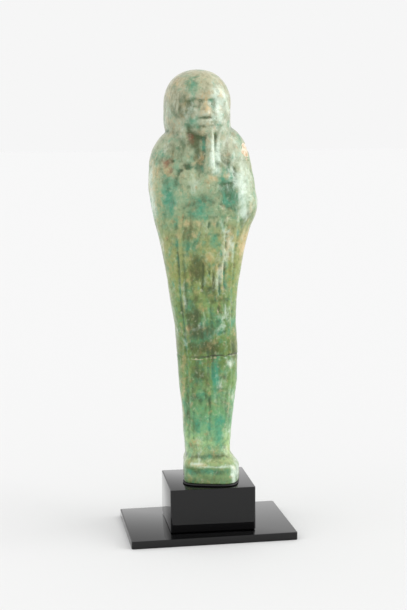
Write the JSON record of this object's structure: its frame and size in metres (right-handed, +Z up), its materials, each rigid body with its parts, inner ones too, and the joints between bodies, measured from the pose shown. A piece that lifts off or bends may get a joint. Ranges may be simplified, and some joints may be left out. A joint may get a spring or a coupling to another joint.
{
  "type": "ushabti figurine",
  "caption": "Mummy-shaped faience funerary figurine with long wig, plaited beard and crossed hands, standing on a glossy black display block and plate.",
  "frame": {"origin": "middle of the plate's underside", "axes": "+Z up, the figure faces -Y, +X is on the viewer's right"},
  "size_m": [0.064, 0.044, 0.1789],
  "materials": {
    "faience": "worn satin glaze",
    "black_plastic": "polished",
    "black_wax": "soft satin mounting wax"
  },
  "bodies": {
    "root": {"ushabti": "faience", "wax_pad": "black_wax", "stand_block": "black_plastic", "stand_plate": "black_plastic"}
  },
  "joints": []
}
